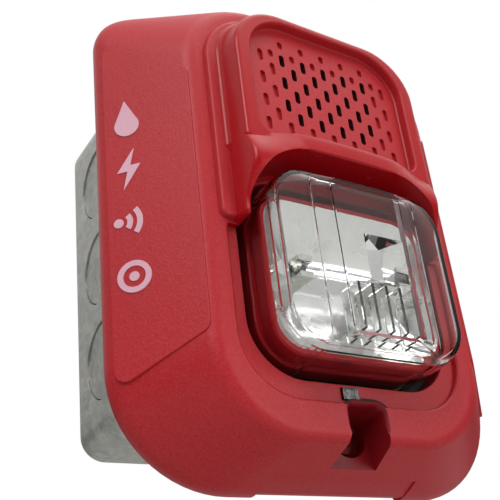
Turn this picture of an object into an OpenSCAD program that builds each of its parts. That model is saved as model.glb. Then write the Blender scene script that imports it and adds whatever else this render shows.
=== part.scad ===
// Wall horn strobe on a square steel wiring box.
// +Z is up, the front faces -Y and the origin is the centre of the box's rear face, on the wall.

/* [Housing] */
// Width of the housing at its rear rim
housing_w = 119; // [117:1:145]
// Height of the housing at its rear rim
housing_h = 142; // [138:1:172]
// Distance from the box front to the flat front face
face_depth = 24; // [22:0.5:29]
// Radius of the lower corners at the rear rim
rim_corner_r = 30; // [26:1:32]
// Wall thickness of the moulded housing
wall_t = 2.2; // [1.8:0.1:2.6]
// Width of the flat front face
face_w = 82; // [80:1:86]
// How far the raised block stands in front of the flat face
block_rise = 9; // [7.5:0.5:11]

/* [Grille] */
// Width of one sound slot
slot_w = 1.7; // [1.3:0.1:2.0]
// Length of one sound slot
slot_l = 4.3; // [3.4:0.1:5.2]

/* [Lens] */
// Width of the clear lens
lens_w = 58.4; // [48:0.1:60]
// How far the lens stands in front of the flat face
lens_rise = 14.5; // [11:0.5:18]
// Wall thickness of the lens
lens_t = 1.8; // [1.4:0.1:2.4]

/* [Wiring box] */
// Side length of the square steel box
box_w = 101.6; // [98:0.2:103]
// Depth of the steel box
box_d = 38.1; // [31.8:0.1:54]
// Sheet thickness of the box
sheet_t = 1.6; // [1.4:0.1:2.0]
// Radius of a half-inch trade size knockout
knockout_r = 11.1; // [11.0:0.1:11.5]

/* [Moving parts] */
// Radius of the two hinge pins on the mounting plate
hinge_pin_r = 1.25; // [1.1:0.05:1.4]
// Radial running clearance of every turning part
run_gap = 0.06; // [0.03:0.01:0.09]
// Radius of the captive screw's shank
screw_r = 2.08; // [1.8:0.02:2.4]
// Travel of the light-output selector
selector_travel = 12; // [8:0.5:14]

/* [Hidden] */
$fn = 64;
eps = 0.01;
hw = housing_w / 2;
hh = housing_h / 2;
// rear rim of the housing stands just clear of the box front
rim_d = 0.4;
// depth of the upright band along the rear rim
band_d = 5;
face_hw = face_w / 2;
// top and bottom of the flat front face
face_top = hh - 1;
face_bot = -hh + 8.3;
face_top_r = 26;
face_r = 24;
top_r = 14;
// raised step beside the block
step_hw = 36.9;
step_rise = 1.6;
step_bot = -6;
// raised block with the grille
block_hw = 33.2;
block_taper = 1.8;
block_front = face_depth + block_rise;
block_top = hh - 8.7;
block_r = 16;
// grille panel inside the block
panel_hw = 26.9;
panel_bot = 18.5;
panel_top = hh - 11.2;
panel_d = block_front - 3.2;
slot_px = 3.62;
slot_pz = 8;
// lens recess in the front face
well_hw = lens_w / 2 + 2;
well_top = 9.5;
well_bot = -47.4;
well_r = 15;
well_floor = 16.5;
lens_hw = lens_w / 2;
lens_top = well_top - 2;
lens_bot = well_bot + 2;
lens_front = face_depth + lens_rise;
seal_gap = 0.25;
// light-output window below the lens
window_x = -6.1;
window_w = 4.8;
window_h = 3.2;
window_gap = 0.1;
window_top = face_depth - 0.8;
// hood over the lens
hood_hw = 33.2;
hood_bot = -7;
hood_top = 20;
// radius of the hood's bowed front, which falls back 4 mm at its ends
hood_bow = (hood_hw * hood_hw + 16) / 8;
hood_front = face_depth + 13;
// the arch under the hood, wider than the well below it
arch_top = 12.6;
arch_r = 17;
// pocket of the captive screw
pocket_r = 5.4;
pocket_z = -hh + 12.5;
pocket_floor = 11;
// ledge below the screw head and the splay of the pocket's mouth
pocket_ledge = 14.4;
pocket_splay = 2.6;
pocket_wall = 1.6;
screw_hole_r = screw_r + 0.4;
boss_r = 4.6;
boss_back = 3.5;
screw_tip = -2.6;
retainer_d = 2.9;
retainer_t = 1;
// mounting plate
plate_t = 2.2;
plate_hw = 53;
plate_top = hh - 5.5;
plate_bot = -hh + 5.5;
// hinge of the device on the plate
hinge_z = hh - 7.8;
hinge_d = 5.4;
hinge_x = 25;
claw_r = 2.7;
// layers inside the device
cover_d = 6.4;
cover_t = 1.8;
cover_hw = 49;
cover_top = hh - 10.5;
cover_bot = -hh + 20;
board_d = 10.4;
board_t = 1.6;
board_hw = 46;
// horn
horn_z = 37;
horn_r = 17;
// reflector and flash tube
refl_hw = lens_hw - 3.7;
tube_r = 2;
tube_len = 2 * (refl_hw - 10.5);
tube_z = -17;
tube_d = 25;
// selectors at the back of the device
selector_z = -35;
tone_x = 26;
tone_z = -12;
tone_r = 3.2;
// box
box_hw = box_w / 2;
box_r = 7;
ko_pitch = 28;
ear_off = 38.1;
fix_p = 70;
fix_r = 2.6;
ground_x = 24;
pad_h = 3;

// Places children in device directions: x across, y up, z out of the wall, from the box front plane.
module dev(d = 0) { translate([0, -box_d, 0]) rotate([90, 0, 0]) translate([0, 0, d]) children(); }

// Rounded outline with its own top and bottom corner radii.
module outline(w, zb, zt, rb, rt) {
    translate([-w, zb + rb]) square([2 * w, zt - zb - rb - rt]);
    translate([-w + rb, zb]) square([2 * (w - rb), rb + eps]);
    translate([-w + rt, zt - rt - eps]) square([2 * (w - rt), rt + eps]);
    for (s = [-1, 1]) {
        translate([s * (w - rb), zb + rb]) circle(rb);
        translate([s * (w - rt), zt - rt]) circle(rt);
    }
}
module slab(w, zb, zt, rb, rt, d0, d1) {
    translate([0, 0, d0]) linear_extrude(height = d1 - d0) outline(w, zb, zt, rb, rt, $fn = 48);
}

// ---------------------------------------------------------------- box on the wall
module box_outline(o) { outline(box_hw - o, -box_hw + o, box_hw - o, box_r - o, box_r - o); }
module side_holes(r, x0, x1) {
    for (z = [-1, 0, 1] * ko_pitch) translate([x0, -box_d / 2, z]) rotate([0, 90, 0])
        cylinder(r = r, h = x1 - x0);
}
module rear_knockout_axes() {
    for (p = [[0, 24], [0, -24], [24, 0]]) translate([p[0], 0, p[1]]) rotate([90, 0, 0]) children();
}
module back_box() {
    color([0.62, 0.62, 0.59]) difference() {
        union() {
            rotate([90, 0, 0]) difference() {
                linear_extrude(height = box_d) box_outline(0);
                translate([0, 0, sheet_t]) linear_extrude(height = box_d) box_outline(sheet_t);
            }
            // raised pad of the ground screw
            translate([-ground_x, 0, 0]) rotate([90, 0, 0]) cylinder(r = 8, h = pad_h + sheet_t);
            // screw ears at two opposite corners
            for (s = [-1, 1]) rotate([90, 0, 0]) translate([0, 0, box_d - sheet_t])
                linear_extrude(height = sheet_t)
                intersection() {
                    box_outline(sheet_t / 2);
                    translate([s * (box_hw - 8), s * (box_hw - 8)]) circle(10.5);
                }
        }
        // knockout openings: three on each side wall, top and bottom, and three at the rear
        side_holes(knockout_r, -box_hw - 1, -box_hw + sheet_t + 1);
        side_holes(knockout_r, box_hw - sheet_t - 1, box_hw + 1);
        rotate([0, 90, 0]) side_holes(knockout_r, -box_hw - 1, -box_hw + sheet_t + 1);
        rotate([0, 90, 0]) side_holes(knockout_r, box_hw - sheet_t - 1, box_hw + 1);
        rear_knockout_axes() translate([0, 0, -1]) cylinder(r = knockout_r, h = sheet_t + 2);
        // four holes for the screws that fix the box to the wall
        for (sx = [-1, 1], sz = [-1, 1]) translate([sx * fix_p / 2, 1, sz * fix_p / 2])
            rotate([90, 0, 0]) cylinder(r = fix_r, h = sheet_t + 2);
        // hollow behind the ground pad and its screw hole
        translate([-ground_x, 1, 0]) rotate([90, 0, 0]) cylinder(r = 6.4, h = 1 + pad_h);
        translate([-ground_x, 1, 0]) rotate([90, 0, 0]) cylinder(r = 2.4, h = pad_h + sheet_t + 2);
        // ear holes for the plate screws
        for (s = [-1, 1]) translate([s * ear_off, -box_d - 1, s * ear_off])
            rotate([-90, 0, 0]) cylinder(r = 2.0, h = sheet_t + 2);
    }
}
// One knockout slug: a disc with a tie tab that still joins it to the wall.
module slug(tie_a = 90) {
    rotate([0, 0, tie_a]) {
        cylinder(r = knockout_r - 0.35, h = sheet_t - 0.5);
        intersection() {
            translate([knockout_r - 3, -2, 0]) cube([4, 4, sheet_t - 0.5]);
            cylinder(r = knockout_r, h = sheet_t);
        }
    }
}
module slug_row() {
    for (z = [-1, 0, 1] * ko_pitch) translate([-box_hw + 0.5, -box_d / 2, z]) rotate([0, 90, 0]) slug(90);
}
module knockout_slugs() {
    color([0.58, 0.58, 0.55]) {
        for (a = [0 : 90 : 270]) rotate([0, a, 0]) slug_row();
        // the upper rear knockout is open for the cable
        for (p = [[0, -24], [24, 0]]) translate([p[0], -sheet_t, p[1]]) rotate([-90, 0, 0]) slug(0);
    }
}
module ground_screw() {
    color([0.15, 0.45, 0.2]) translate([-ground_x, 0, 0]) rotate([90, 0, 0]) {
        translate([0, 0, 0.4]) cylinder(r = 2.4, h = pad_h + sheet_t);
        translate([0, 0, pad_h + sheet_t]) cylinder(r = 5.2, h = 1);
        difference() {
            translate([0, 0, pad_h + sheet_t + 1 - eps]) cylinder(r = 4.2, h = 3, $fn = 6);
            translate([-5, -0.5, pad_h + sheet_t + 3]) cube([10, 1, 2]);
        }
    }
}

// ---------------------------------------------------------------- plate on the box
module mounting_plate() {
    color([0.82, 0.82, 0.8]) dev() {
        difference() {
            union() {
                linear_extrude(height = plate_t) outline(plate_hw, plate_bot, plate_top, 18, 12);
                // boss that takes the captive screw
                translate([0, pocket_z, -boss_back]) cylinder(r = boss_r, h = boss_back + eps);
            }
            // wiring opening
            translate([0, 0, -1]) linear_extrude(height = plate_t + 2) outline(30, -26, 40, 6, 6);
            translate([0, pocket_z, -boss_back - 1]) cylinder(r = screw_hole_r, h = boss_back + plate_t + 2);
            for (s = [-1, 1]) translate([s * ear_off, s * ear_off, -1]) cylinder(r = 2.3, h = plate_t + 2);
        }
        // risers and pins that the device hangs on
        for (s = [-1, 1]) {
            translate([s * hinge_x - 4.5, hinge_z - 0.7, plate_t - eps]) cube([9, 1.4, hinge_d - plate_t]);
            translate([s * hinge_x - 4.5, hinge_z, hinge_d]) rotate([0, 90, 0])
                cylinder(r = hinge_pin_r, h = 9);
        }
    }
}
module pan_screw(shank_r, len, head_r, head_h) {
    // head at z = 0 upwards, shank downwards, cross recess in the head
    translate([0, 0, -len]) cylinder(r = shank_r, h = len + eps);
    difference() {
        intersection() {
            cylinder(r = head_r, h = head_h);
            translate([0, 0, head_h - head_r * 1.9]) sphere(r = head_r * 1.9);
        }
        for (a = [0, 90]) rotate([0, 0, a]) translate([-head_r * 0.55, -head_r * 0.12, head_h * 0.4])
            cube([head_r * 1.1, head_r * 0.24, head_h]);
    }
}
module plate_screws() {
    color([0.75, 0.75, 0.72]) dev() for (s = [-1, 1])
        translate([s * ear_off, s * ear_off, plate_t]) pan_screw(2.0, 9, 4, 2.6);
}
// Terminal block on a bridge across the wiring opening.
term_n = 4;
term_p = 11;
term_z = 12;
spring_t = 0.4;
module term_at() { for (i = [0 : term_n - 1]) translate([(i - (term_n - 1) / 2) * term_p, term_z, 0])
    children(); }
module terminal_block() {
    color([0.9, 0.9, 0.87]) dev() difference() {
        union() {
            translate([-30 - 4, term_z - 7, -7]) cube([68, 14, 7]);
            translate([-30, term_z - 7, -eps]) cube([60, 14, plate_t - 0.2]);
        }
        term_at() translate([-4, -9, -4]) cube([8, 12.5, 8]);
        term_at() translate([0, 0, -8]) cylinder(r = 1.6, h = 8);
    }
}
module terminal_clamps() {
    color([0.85, 0.7, 0.35]) dev() term_at() difference() {
        translate([-3.6, -4.5, -4]) cube([7.2, 7.6, 1.2]);
        translate([0, 0, -5]) cylinder(r = 1.6, h = 4);
    }
}
module terminal_screws() {
    color([0.7, 0.7, 0.68]) dev() term_at() translate([0, 0, -2.8]) pan_screw(1.6, 4.2, 3.1, 1.9);
}
module shorting_spring() {
    // flat bronze strip that bridges two terminals until the device is fitted
    color([0.8, 0.6, 0.3]) dev() {
        translate([-term_p / 2 - 3, term_z + 3.7, plate_t - 0.2]) cube([term_p + 6, 3, spring_t]);
        for (s = [-1, 1]) translate([s * term_p / 2 - 1, term_z + 3.7, plate_t - 0.2 + spring_t - eps])
            rotate([7, 0, 0]) cube([2, 7, spring_t]);
    }
}

// ---------------------------------------------------------------- device
module body_shape() {
    hull() {
        slab(hw - 0.9, -hh + 1.4, hh - 0.9, rim_corner_r - 0.9, top_r - 0.9, rim_d, rim_d + 0.1);
        slab(hw, -hh, hh, rim_corner_r, top_r, rim_d + 2.6, band_d);
        slab(face_hw, face_bot, face_top, face_r, face_top_r, face_depth - 0.4, face_depth);
    }
}
module body_void() {
    hull() {
        slab(hw - wall_t, -hh + wall_t, hh - wall_t, rim_corner_r - wall_t, top_r - wall_t, rim_d - 1, band_d);
        slab(face_hw - 2.4, face_bot + 1.6, face_top - 1.6, face_r - 2.4, face_top_r - 2.4,
            face_depth - 2.6, face_depth - wall_t);
    }
}
module block_shape() {
    hull() {
        slab(block_hw, panel_bot - 4, block_top + 1.4, 2, block_r + 1, face_depth - 4, face_depth);
        slab(block_hw - block_taper, panel_bot - 4, block_top, 2, block_r, block_front - 0.4, block_front);
    }
}
module block_void() {
    hull() {
        slab(block_hw - 3, panel_bot, block_top - 2, 2, block_r - 2, face_depth - 8, face_depth - 1);
        slab(panel_hw, panel_bot, panel_top, 2, 13, panel_d - wall_t - 0.4, panel_d - wall_t);
    }
}
module hood_shape() {
    intersection() {
        hull() {
            slab(hood_hw, hood_bot, hood_top, 1.5, 6, face_depth - 1, face_depth);
            slab(hood_hw - block_taper * 13 / block_rise, hood_bot, hood_top, 1.5, 6, hood_front,
                hood_front + 1);
        }
        // front of the hood bows outwards across its width
        translate([0, hood_bot - 1, hood_front - hood_bow]) rotate([-90, 0, 0])
            cylinder(r = hood_bow, h = hood_top - hood_bot + 2, $fn = 360);
    }
}
cols = 6;
rows = 3;
blind_depth = 0.9;
module slot(h, l = slot_l) {
    linear_extrude(height = h) {
        square([slot_w, l - slot_w], center = true);
        for (s = [-1, 1]) translate([0, s * (l - slot_w) / 2]) circle(slot_w / 2, $fn = 24);
    }
}
top_slot_z = panel_top - 5.8;
// Even columns start half a step above the odd ones; the two outer columns, the bottom and the top row are blind.
function slot_z(i, j) = top_slot_z - 5.8 - (i % 2 == 0 ? 0 : slot_pz / 2) - j * slot_pz;
function slot_in(i, j) = abs(i) < cols - 1 && slot_z(i, j) > panel_bot + 7;
module slots(open) {
    for (i = [-cols : cols], j = [0 : rows]) if (slot_z(i, j) > panel_bot + 3.4 && slot_in(i, j) == open)
        translate([i * slot_px, slot_z(i, j), panel_d - (open ? wall_t + 1 : blind_depth)]) slot(wall_t + 4);
    if (!open) for (i = [-cols + 1 : cols - 1]) translate([i * slot_px, top_slot_z, panel_d - blind_depth])
        slot(wall_t + 4, slot_l - 1.6);
}
module front_housing() {
    color([0.72, 0.13, 0.17]) dev() difference() {
        union() {
            difference() {
                union() {
                    body_shape();
                    // shallow step beside the block
                    hull() {
                        slab(step_hw, step_bot, block_top + 2.4, 2, block_r + 3, face_depth - 7, face_depth);
                        slab(step_hw - 0.5, step_bot + 0.3, block_top + 1.8, 2, block_r + 2.6, face_depth,
                            face_depth + step_rise);
                    }
                    block_shape();
                    hood_shape();
                    flank_pads();
                }
                body_void();
                block_void();
                // recessed grille panel
                slab(panel_hw, panel_bot, panel_top, 4, 14, panel_d, block_front + 1);
                slots(true);
                slots(false);
                // shallow ledge round the lower part of the lens
                difference() {
                    slab(well_hw + 3.4, well_bot - 5.4, step_bot, 16, 3, face_depth - 1.6, face_depth + 2);
                    slab(hood_hw + 4, hood_bot, hood_top, 1, 1, face_depth - 2, face_depth + 3);
                }
            }
            // well that the lens stands in
            slab(well_hw + 2, well_bot - 2, well_top + 2, well_r + 2, well_r + 2, well_floor - 1.6,
                face_depth - 1.7);
            intersection() {
                body_shape();
                union() {
                    // walls and floor of the screw pocket
                    translate([0, pocket_z, pocket_floor - 2]) cylinder(r = pocket_r + pocket_wall, h = 20);
                    translate([-pocket_r - 3.6, pocket_z - 20, pocket_floor - 2])
                        cube([2 * (pocket_r + 3.6), 20, 20]);
                    // posts for the cover screws
                    for (p = cover_pts) translate([p[0], p[1], board_d + board_t]) difference() {
                        cylinder(r = 3.4, h = 12);
                        translate([0, 0, -1]) cylinder(r = 1.5, h = 4.4);
                    }
                }
            }
        }
        // opening of the lens recess and of its floor
        slab(well_hw, well_bot, well_top, well_r, well_r, well_floor, hood_front + 2);
        slab(well_hw, well_bot, arch_top, well_r, arch_r, face_depth, hood_front + 2);
        slab(lens_hw + seal_gap, lens_bot - seal_gap, lens_top + seal_gap, well_r - 2, well_r - 2, 8,
            well_floor + 1);
        // screw pocket, open towards the bottom
        translate([0, pocket_z, pocket_floor]) cylinder(r = pocket_r, h = 30);
        translate([0, pocket_z, pocket_ledge]) linear_extrude(height = 30)
            polygon([[-pocket_r, 0], [pocket_r, 0], [pocket_r + pocket_splay, -12],
                [-pocket_r - pocket_splay, -12]]);
        translate([0, pocket_z, 0]) cylinder(r = 2.6, h = 20);
        // slot of the light-output window
        translate([window_x - window_gap, well_bot - window_h - 1.2 - window_gap, well_floor - 1])
            cube([window_w + 2 * window_gap, window_h + 2 * window_gap, face_depth]);
    }
}
// Flank frame: x runs up the sloping left flank, y is up, z is out of the flank.
flank_a = atan2(face_depth - band_d, hw - face_hw);
module flank(u, z, lift = 0) {
    translate([-hw, z, band_d]) rotate([0, -flank_a, 0]) translate([u, 0, lift]) children();
}
// Slightly raised panel on each flank.
pad_rise = 0.4;
function arc(cu, cz, a0, a1) = [for (k = [0 : 6]) [cu + 3 * cos(a0 + (a1 - a0) * k / 6),
    cz + 3 * sin(a0 + (a1 - a0) * k / 6)]];
module flank_pads() {
    for (m = [0, 1]) mirror([m, 0, 0]) flank(0, 0, -1.2) linear_extrude(height = 1.2 + pad_rise)
        polygon(concat(arc(22.5, hh - 31.6, 0, 57), arc(4.2, hh - 19.6, 57, 180), arc(4.2, -hh + 27.7, 180,
            294), arc(22.5, -hh + 36, 294, 360)));
}
module flame_mark() {
    circle(3.4, $fn = 40);
    polygon([[-3.25, 1], [-0.4, 8.2], [3.25, 1]]);
}
module flash_mark() polygon([[1.6, 6.2], [-3.2, -0.8], [-0.4, -0.8], [-1.6, -6.2], [3.2, 1.0], [0.4, 1.0]]);
module sound_mark() {
    for (r = [3, 5.6]) intersection() {
        difference() { circle(r + 0.8, $fn = 48); circle(r - 0.7, $fn = 48); }
        polygon([[0, 0], [9, 7], [9, -7]]);
    }
    circle(1.3, $fn = 32);
}
module ring_mark() {
    difference() { circle(4.4, $fn = 48); circle(2.9, $fn = 48); }
    circle(1.3, $fn = 32);
}
mark_t = 0.25;
module flank_marks() {
    color([0.88, 0.72, 0.76]) dev() {
        flank(7.6, 26.2, pad_rise) linear_extrude(height = mark_t) flame_mark();
        flank(7.6, 12.3, pad_rise) linear_extrude(height = mark_t) flash_mark();
        flank(4.2, -3.6, pad_rise) linear_extrude(height = mark_t) sound_mark();
        flank(7.6, -19.4, pad_rise) linear_extrude(height = mark_t) ring_mark();
    }
}
module rear_cover() {
    color([0.16, 0.16, 0.17]) dev() {
        difference() {
            slab(cover_hw, cover_bot, cover_top, 12, 8, cover_d, cover_d + cover_t);
            // slot for the light-output selector
            translate([-selector_travel / 2 - 2.5, selector_z - 1.6, cover_d - 1])
                cube([selector_travel + 5, 3.2, 4]);
            translate([tone_x, tone_z, cover_d - 1]) cylinder(r = tone_r + run_gap, h = 4);
            // blade openings
            term_at() translate([-2.6, -2, cover_d - 1]) cube([5.2, 4, 4]);
            for (p = cover_pts) translate([p[0], p[1], cover_d - 1]) cylinder(r = 1.7, h = 4);
        }
        // sleeves round the cover screws hold the board off the cover
        for (p = cover_pts) translate([p[0], p[1], cover_d + cover_t - eps]) difference() {
            cylinder(r = 3, h = board_d - cover_d - cover_t + eps);
            translate([0, 0, -1]) cylinder(r = 1.7, h = 5);
        }
        // open claws that hang on the plate's pins
        for (s = [-1, 1]) difference() {
            union() {
                translate([s * hinge_x - 2.5, hinge_z, hinge_d]) rotate([0, 90, 0]) cylinder(r = claw_r, h = 5);
                translate([s * hinge_x - 2.5, cover_top - 2, cover_d])
                    cube([5, hinge_z - cover_top + 2, cover_t]);
            }
            translate([s * hinge_x - 3, hinge_z, hinge_d]) rotate([0, 90, 0])
                cylinder(r = hinge_pin_r + run_gap, h = 6);
            translate([s * hinge_x - 3, hinge_z - 4, hinge_d - 5]) cube([6, 8, 4.6]);
        }
    }
}
cover_pts = [[-40, 52], [40, 52], [-40, -42], [40, -42]];
module cover_screws() {
    color([0.7, 0.7, 0.68]) dev() for (p = cover_pts) translate([p[0], p[1], cover_d]) rotate([180, 0, 0])
        pan_screw(1.5, 8.8, 2.8, 1.6);
}
module circuit_board() {
    color([0.1, 0.32, 0.2]) dev() difference() {
        slab(board_hw, -46, 56, 9, 6, board_d, board_d + board_t);
        translate([0, horn_z, board_d - 1]) cylinder(r = horn_r - 8, h = 4);
        for (p = cover_pts) translate([p[0], p[1], board_d - 1]) cylinder(r = 1.7, h = 4);
        translate([0, selector_z, board_d - 1]) cube([selector_travel + 4, 5, 6], center = true);
        translate([tone_x, tone_z, board_d - 1]) cylinder(r = tone_r + 0.5, h = 4);
        term_at() translate([-2.1, -0.42, board_d - 1]) cube([4.2, 0.84, 4]);
    }
}
module contact_blades() {
    color([0.85, 0.7, 0.35]) dev() term_at() {
        translate([-2, -0.4, 1.6]) cube([4, 0.8, board_d + board_t + 0.6 - 1.6]);
        translate([-2.6, -0.9, board_d + board_t]) cube([5.2, 1.8, 1.2]);
    }
}
module storage_capacitor() {
    color([0.12, 0.12, 0.14]) dev() translate([-38, -8, board_d + board_t + 4.2]) rotate([-90, 0, 0])
        cylinder(r = 4.2, h = 26);
}
module charge_inductor() {
    color([0.5, 0.3, 0.15]) dev() translate([38.6, 2, board_d + board_t]) {
        cylinder(r = 4.2, h = 1);
        cylinder(r = 2.6, h = 5.4);
        translate([0, 0, 4.4]) cylinder(r = 4.2, h = 1);
    }
}
module trigger_coil() {
    color([0.8, 0.65, 0.2]) dev() translate([39, -20, board_d + board_t]) cylinder(r = 3.2, h = 5.4);
}
module horn_chamber() {
    // cup that seals the sounder to the back of the grille
    color([0.2, 0.2, 0.21]) dev() translate([0, horn_z, 0]) difference() {
        union() {
            translate([0, 0, 14.5]) cylinder(r = horn_r, h = panel_d - wall_t - 14.5 - 0.2);
            translate([0, 0, 12]) cylinder(r = horn_r - 4, h = 3);
        }
        translate([0, 0, 16.3]) cylinder(r = horn_r - 1.6, h = 20);
        translate([0, 0, 13.6]) cylinder(r = horn_r - 6, h = 6);
        translate([0, 0, 11]) cylinder(r = 4, h = 4);
    }
}
module diaphragm_disc() {
    color([0.85, 0.7, 0.35]) dev() translate([0, horn_z, 16.3]) cylinder(r = horn_r - 1.7, h = 0.3);
}
module piezo_disc() {
    color([0.93, 0.92, 0.88]) dev() translate([0, horn_z, 16.6]) cylinder(r = 11, h = 0.3);
}
// Deep box with slightly drawn-in sides and a front that bows out in the middle.
module lens_solid(o) {
    hull() {
        slab(lens_hw - o, lens_bot + o, lens_top - o, well_r - 2 - o, well_r - 2 - o, 12.2, face_depth);
        slab(lens_hw - 0.8 - o, lens_bot + 0.8 + o, lens_top - 0.6 - o, 12 - o, 12 - o, face_depth,
            lens_front - 4.6 - o);
        slab(lens_hw - 3.4 - o, lens_bot + 3 + o, lens_top - 2.4 - o, 10 - o, 10 - o, face_depth,
            lens_front - 2.6 - o);
        slab(lens_hw - 15 - o, lens_bot + 5.6 + o, lens_top - 4.6 - o, 6, 6, face_depth, lens_front - o);
    }
}
module lens() {
    color([0.85, 0.88, 0.9, 0.35]) dev() {
        difference() {
            union() {
                lens_solid(0);
                slab(lens_hw + 3, lens_bot - 3, lens_top + 3, well_r + 1, well_r + 1, well_floor - 3.4,
                    well_floor - 1.6);
            }
            difference() {
                lens_solid(lens_t);
                translate([-100, -100, lens_front - lens_t]) cube([200, 200, 50]);
            }
            translate([0, 0, -1])
                slab(lens_hw - lens_t, lens_bot + lens_t, lens_top - lens_t, well_r - 4, well_r - 4, 12, 16);
        }
        // light-spreading ribs inside the lower front
        for (i = [-2 : 2]) translate([i * 4.4, lens_bot + 6.4, lens_front - 6.5]) cube([1.2, 13, 5.4]);
    }
}
module lens_seal() {
    color([0.05, 0.05, 0.05]) dev() difference() {
        slab(well_hw - 0.1, well_bot + 0.1, well_top - 0.1, well_r, well_r, well_floor, well_floor + 1);
        slab(lens_hw + 0.05, lens_bot - 0.05, lens_top + 0.05, well_r - 2, well_r - 2, well_floor - 1,
            well_floor + 2);
    }
}
module reflector() {
    color([0.85, 0.86, 0.88]) dev() difference() {
        union() {
            translate([-refl_hw, tube_z - 16, 15.2]) cube([2 * refl_hw, 32, 12]);
            slab(lens_hw - lens_t - 0.4, lens_bot + lens_t + 0.4, lens_top - lens_t - 0.4, 11, 11, 15.2, 20.4);
            for (s = [-1, 1]) translate([s * (refl_hw - 5.5), tube_z, board_d + board_t])
                cylinder(r = 2.2, h = 4);
        }
        // wire passages
        for (s = [-1, 1]) translate([s * (tube_len / 2 + 1.1), tube_z, 10]) cylinder(r = 1, h = 20);
        // main trough behind the tube
        translate([-refl_hw + 5, tube_z, tube_d + 3]) rotate([0, 90, 0])
            cylinder(r = 11, h = 2 * refl_hw - 10, $fn = 96);
        // angled end facets
        for (s = [-1, 1]) translate([s * (refl_hw - 2), tube_z, 30]) rotate([0, s * 30, 0])
            cube([12, 24, 12], center = true);
        translate([-30, tube_z - 20, 24.6]) cube([60, 9, 10]);
        translate([-30, tube_z + 11, 24.6]) cube([60, 9, 10]);
    }
}
module tube_shroud() {
    // white ceramic end supports of the tube
    color([0.93, 0.93, 0.92]) dev() for (s = [-1, 1]) difference() {
        translate([s * (tube_len / 2 - 1.5) - 2, tube_z - 3.2, 17.5]) cube([4, 6.4, tube_d - 17.5 + 1.2]);
        translate([s * (tube_len / 2 - 1.5) - 3, tube_z, tube_d]) rotate([0, 90, 0])
            cylinder(r = tube_r, h = 6);
        translate([s * (tube_len / 2 - 1.5) - 3, tube_z - 1.2, tube_d]) cube([6, 2.4, 5]);
    }
}
module flash_tube() {
    color([0.9, 0.93, 0.95, 0.4]) dev() translate([-tube_len / 2, tube_z, tube_d]) rotate([0, 90, 0])
        difference() {
        cylinder(r = tube_r, h = tube_len);
        translate([0, 0, 1]) cylinder(r = tube_r - 0.6, h = tube_len - 2);
    }
}
module tube_electrodes() {
    color([0.6, 0.6, 0.62]) dev() for (s = [0, 1]) mirror([s, 0, 0]) {
        translate([tube_len / 2, tube_z, tube_d]) rotate([0, 90, 0]) cylinder(r = 1.6, h = 1.6);
        translate([tube_len / 2 + 1.1, tube_z, board_d + board_t])
            cylinder(r = 0.4, h = tube_d - board_d - board_t);
    }
}
module candela_window() {
    color([0.9, 0.92, 0.94, 0.4]) dev() translate([window_x, well_bot - window_h - 1.2, well_floor - 0.5])
        cube([window_w, window_h, window_top - well_floor + 0.5]);
}
module candela_selector() {
    color([0.9, 0.9, 0.88]) dev() {
        translate([-selector_travel / 2 - 2.1, selector_z - 1.3, 4.4]) cube([4.2, 2.6, 5.2]);
        translate([-selector_travel / 2 - 3.6, selector_z - 3, cover_d + cover_t + 0.1]) cube([7.2, 6, 1.6]);
    }
}
module tone_selector() {
    color([0.9, 0.45, 0.1]) dev() translate([tone_x, tone_z, 0]) difference() {
        union() {
            translate([0, 0, 5.2]) cylinder(r = tone_r, h = 6.4);
            translate([0, 0, cover_d + cover_t + 0.1]) cylinder(r = tone_r + 1.6, h = 1);
        }
        translate([-tone_r, -0.5, 4]) cube([2 * tone_r - 1.2, 1, 2.6]);
    }
}
module screw_retainer() {
    color([0.15, 0.15, 0.15]) dev() translate([0, pocket_z, retainer_d]) difference() {
        cylinder(r = 4.4, h = retainer_t);
        translate([0, 0, -1]) cylinder(r = screw_r + run_gap, h = 4);
    }
}
module captive_screw() {
    color([0.45, 0.12, 0.12]) dev() translate([0, pocket_z, pocket_floor + 0.1])
        pan_screw(screw_r, pocket_floor + 0.1 - screw_tip, 3.9, 2.8);
}

back_box();
knockout_slugs();
ground_screw();
mounting_plate();
plate_screws();
terminal_block();
terminal_clamps();
terminal_screws();
shorting_spring();
front_housing();
flank_marks();
rear_cover();
cover_screws();
circuit_board();
contact_blades();
storage_capacitor();
charge_inductor();
trigger_coil();
horn_chamber();
diaphragm_disc();
piezo_disc();
lens();
lens_seal();
reflector();
tube_shroud();
flash_tube();
tube_electrodes();
candela_window();
candela_selector();
tone_selector();
screw_retainer();
captive_screw();
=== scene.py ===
import bpy, bmesh, math
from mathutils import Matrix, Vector


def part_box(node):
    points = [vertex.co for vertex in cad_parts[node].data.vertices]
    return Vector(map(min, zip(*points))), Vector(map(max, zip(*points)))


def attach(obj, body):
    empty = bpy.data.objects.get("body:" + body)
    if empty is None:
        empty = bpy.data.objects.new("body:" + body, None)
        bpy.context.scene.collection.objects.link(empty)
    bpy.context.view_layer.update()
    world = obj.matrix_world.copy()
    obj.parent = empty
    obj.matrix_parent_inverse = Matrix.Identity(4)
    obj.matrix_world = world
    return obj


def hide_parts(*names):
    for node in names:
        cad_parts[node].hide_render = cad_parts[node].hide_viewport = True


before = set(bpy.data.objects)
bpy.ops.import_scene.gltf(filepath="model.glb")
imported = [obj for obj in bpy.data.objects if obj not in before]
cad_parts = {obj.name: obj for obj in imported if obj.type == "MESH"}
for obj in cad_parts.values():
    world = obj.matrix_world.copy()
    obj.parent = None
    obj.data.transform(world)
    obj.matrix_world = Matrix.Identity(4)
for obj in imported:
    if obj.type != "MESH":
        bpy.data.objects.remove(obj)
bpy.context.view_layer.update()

scene = bpy.context.scene
boxFront = -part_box("back_box")[0][1] * 1000  # distance of the box front from the wall, in mm


def place(x, z, depth):
    # device directions in mm: x across, z up, depth out of the wall from the box front
    return (x * 0.001, -(boxFront + depth) * 0.001, z * 0.001)


# ---- shader sheets

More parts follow.
